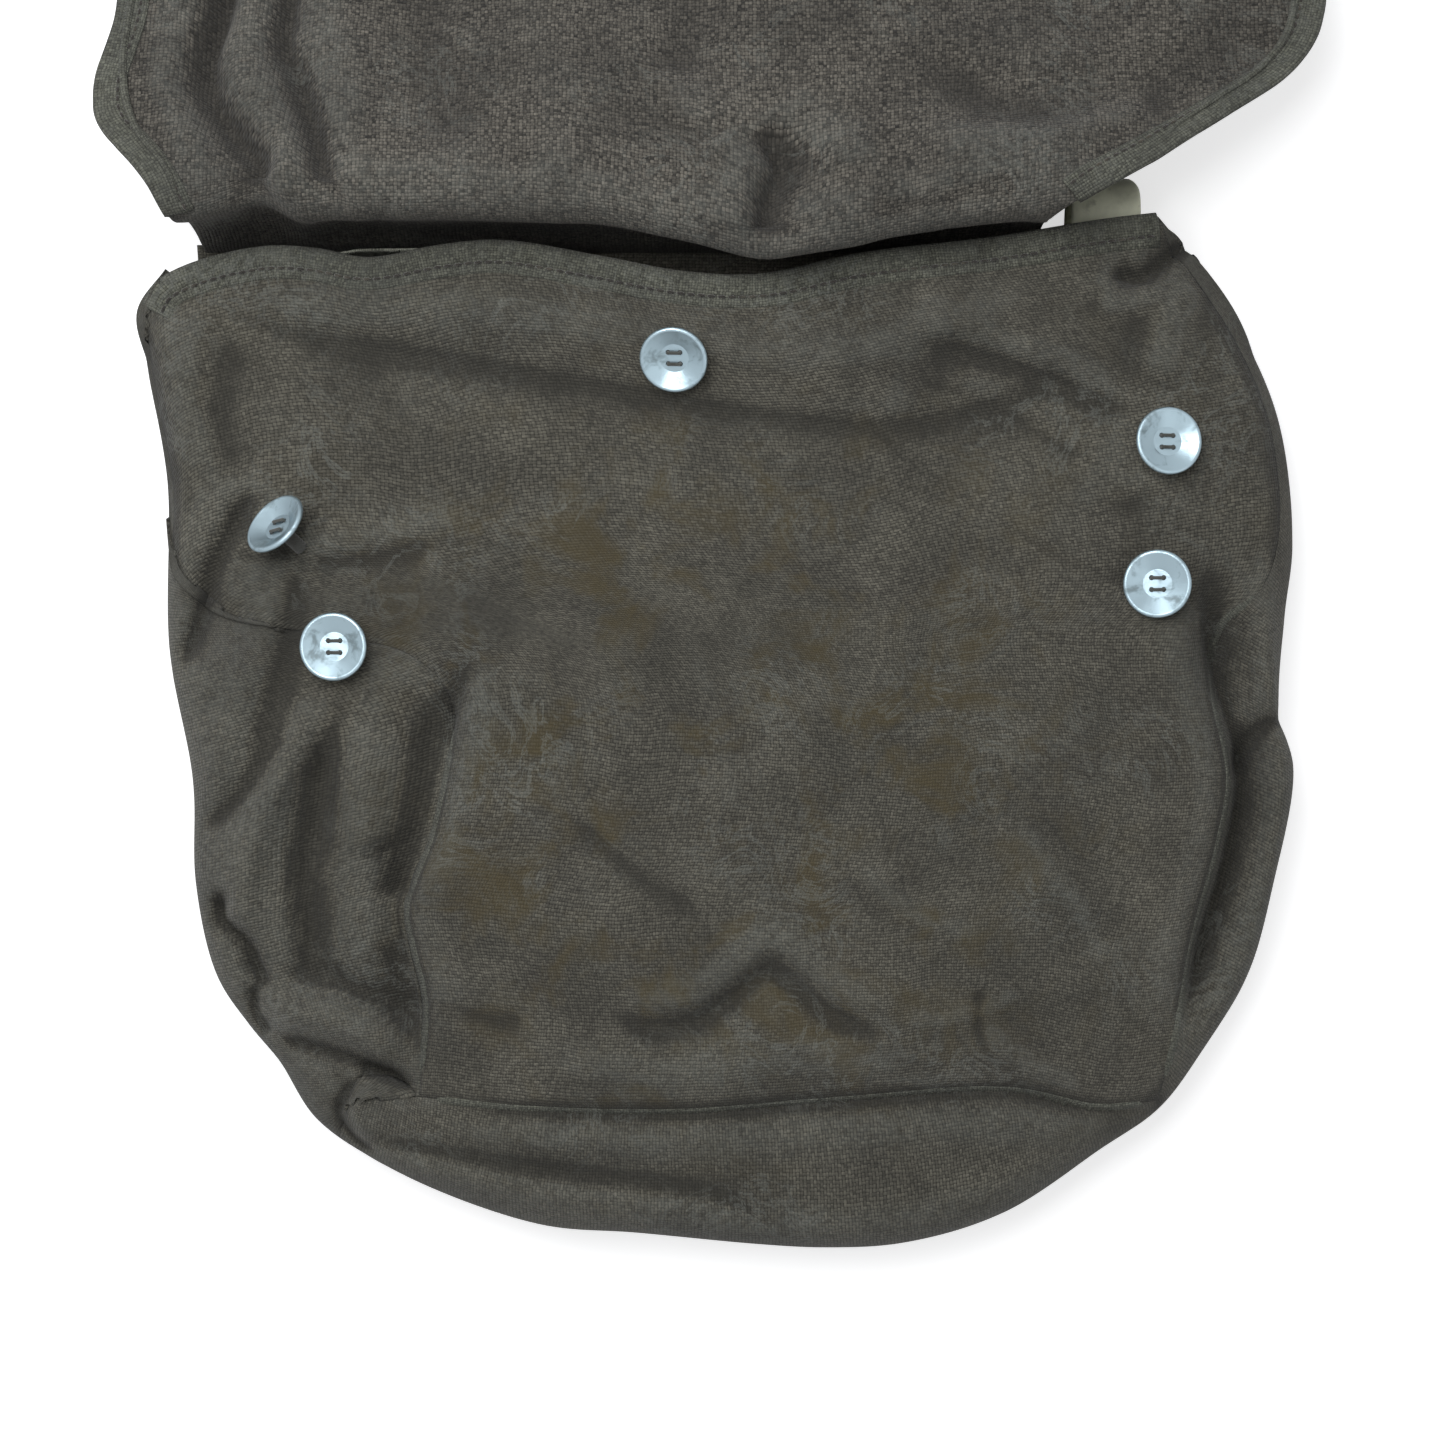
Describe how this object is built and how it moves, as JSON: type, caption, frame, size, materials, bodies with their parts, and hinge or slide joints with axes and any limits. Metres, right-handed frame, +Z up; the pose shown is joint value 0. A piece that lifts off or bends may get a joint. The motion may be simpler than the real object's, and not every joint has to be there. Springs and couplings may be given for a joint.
{
  "type": "mail sack",
  "caption": "Slack canvas mail bag lying on its back, gusseted, with an open folding flap, dished sewn-on metal buttons, a cotton liner and a leather strap root at the mouth.",
  "frame": {"origin": "middle of the footprint of bag and open flap, on the surface that the bag lies on", "axes": "+X across the mouth to the right seen from above, +Y from the bag's bottom towards the open flap, +Z up from the surface, out through the front panel"},
  "size_m": [0.4, 0.5004, 0.0796],
  "materials": {
    "canvas": "worn brown-grey cotton canvas",
    "canvas_edge": "worn canvas edge, rubbed pale",
    "button_metal": "bright dished metal, lightly worn",
    "thread": "waxed thread",
    "liner_cotton": "plain pale cotton",
    "strap_leather": "smooth cream leather",
    "rivet_metal": "dull"
  },
  "bodies": {
    "bag": {"back_panel": "canvas", "bottom_gusset": "canvas", "button_center": "button_metal", "button_left_lower": "button_metal", "button_left_upper": "button_metal", "button_right_lower": "button_metal", "button_right_upper": "button_metal", "button_stay_center": "canvas", "button_stay_left": "canvas", "button_stay_right": "canvas", "button_thread_center": "thread", "button_thread_left_lower": "thread", "button_thread_left_upper": "thread", "button_thread_right_lower": "thread", "button_thread_right_upper": "thread", "front_hem": "canvas_edge", "front_panel": "canvas", "inner_liner": "liner_cotton", "left_gusset": "canvas", "right_gusset": "canvas", "strap": "strap_leather", "strap_rivets": "rivet_metal"},
    "flap_root": {"flap_root": "canvas"},
    "flap": {"flap_band_end": "canvas_edge", "flap_band_left": "canvas_edge", "flap_band_right": "canvas_edge", "flap_panel": "canvas", "flap_welt": "canvas_edge", "buttonhole_patch_left": "canvas", "buttonhole_patch_right": "canvas"}
  },
  "joints": [
    {"name": "flap_mouth_hinge", "type": "hinge", "parent": "bag", "child": "flap_root", "pos_m": [0, 0.08494, 0.0008], "axis": [1, 0, 0], "range_deg": [0, 10]},
    {"name": "flap_crease_hinge", "type": "hinge", "parent": "flap_root", "child": "flap", "pos_m": [0, 0.08766, 0.07875], "axis": [1, 0, 0], "range_deg": [0, 201]}
  ]
}
